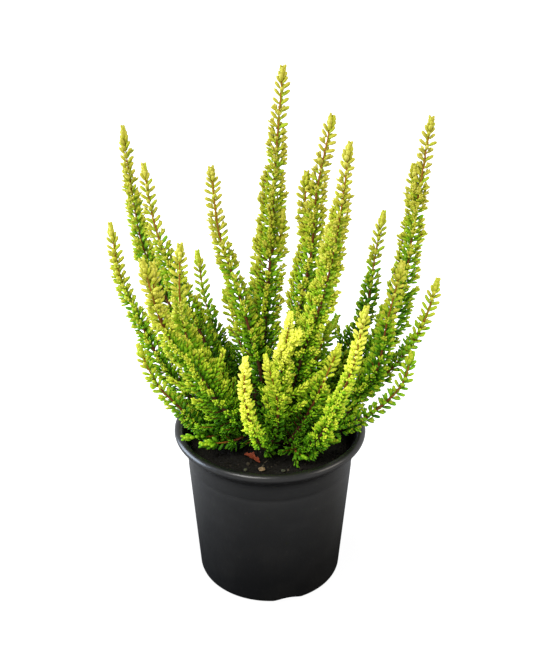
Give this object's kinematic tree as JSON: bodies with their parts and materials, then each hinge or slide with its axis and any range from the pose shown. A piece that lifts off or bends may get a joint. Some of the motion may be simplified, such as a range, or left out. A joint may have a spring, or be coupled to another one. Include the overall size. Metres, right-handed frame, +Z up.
{
  "type": "potted heather",
  "caption": "Young golden-leaved heather with upright leafy shoots on forked woody branches, rooted in dark potting mix in a round black nursery pot that stands on its flat base.",
  "frame": {"origin": "centre of the pot's underside, on the surface it stands on", "axes": "+Z up along the pot's axis to the shoots' tips; -Y towards the plant's show side; +X to the right as seen from that side"},
  "size_m": [0.1959, 0.122, 0.331],
  "materials": {
    "pot_plastic": "black polypropylene with a soft satin sheen",
    "potting_mix": "moist dark peat and composted bark, crumbly",
    "bark": "reddish brown young bark, darker and rougher at the foot",
    "foliage": "short needle leaves, golden yellow at the tips and green inside, slightly waxy",
    "dry_leaf": "withered red-brown leaf",
    "pale_wood": "weathered tan bark chip",
    "perlite": "dull off-white grain"
  },
  "bodies": {
    "root": {"pot": "pot_plastic", "potting_mix": "potting_mix", "woody_crown": "bark", "fallen_leaf": "dry_leaf", "wood_chip": "pale_wood", "perlite_grain_left": "perlite", "perlite_grain_right": "perlite", "branch_centre": "bark", "branch_right_centre": "bark", "branch_right_back": "bark", "branch_right": "bark", "branch_left_back": "bark", "branch_left": "bark", "branch_front_left": "bark", "branch_front": "bark", "branch_middle": "bark", "branch_front_right": "bark", "branch_back_right": "bark", "branch_back_left": "bark", "foliage_tall": "foliage", "foliage_centre_left": "foliage", "foliage_centre_back": "foliage", "foliage_upright_right": "foliage", "foliage_upright_right_front": "foliage", "foliage_upright_right_back": "foliage", "foliage_middle_right": "foliage", "foliage_far_right_tall": "foliage", "foliage_far_right_front": "foliage", "foliage_right_back_small": "foliage", "foliage_right_arching": "foliage", "foliage_right_low": "foliage", "foliage_right_skirt": "foliage", "foliage_left_tall": "foliage", "foliage_left_tall_inner": "foliage", "foliage_left_small": "foliage", "foliage_far_left": "foliage", "foliage_left_low": "foliage", "foliage_left_skirt": "foliage", "foliage_front_left": "foliage", "foliage_front_left_inner": "foliage", "foliage_front_left_skirt": "foliage", "foliage_front": "foliage", "foliage_front_inner": "foliage", "foliage_middle_front": "foliage", "foliage_front_right": "foliage", "foliage_front_right_inner": "foliage", "foliage_front_right_skirt": "foliage", "foliage_front_skirt": "foliage", "foliage_back_right": "foliage", "foliage_back_right_outer": "foliage", "foliage_back_middle": "foliage", "foliage_back_left": "foliage", "foliage_back_left_inner": "foliage", "foliage_back_left_outer": "foliage", "foliage_back_left_skirt": "foliage"}
  },
  "joints": []
}
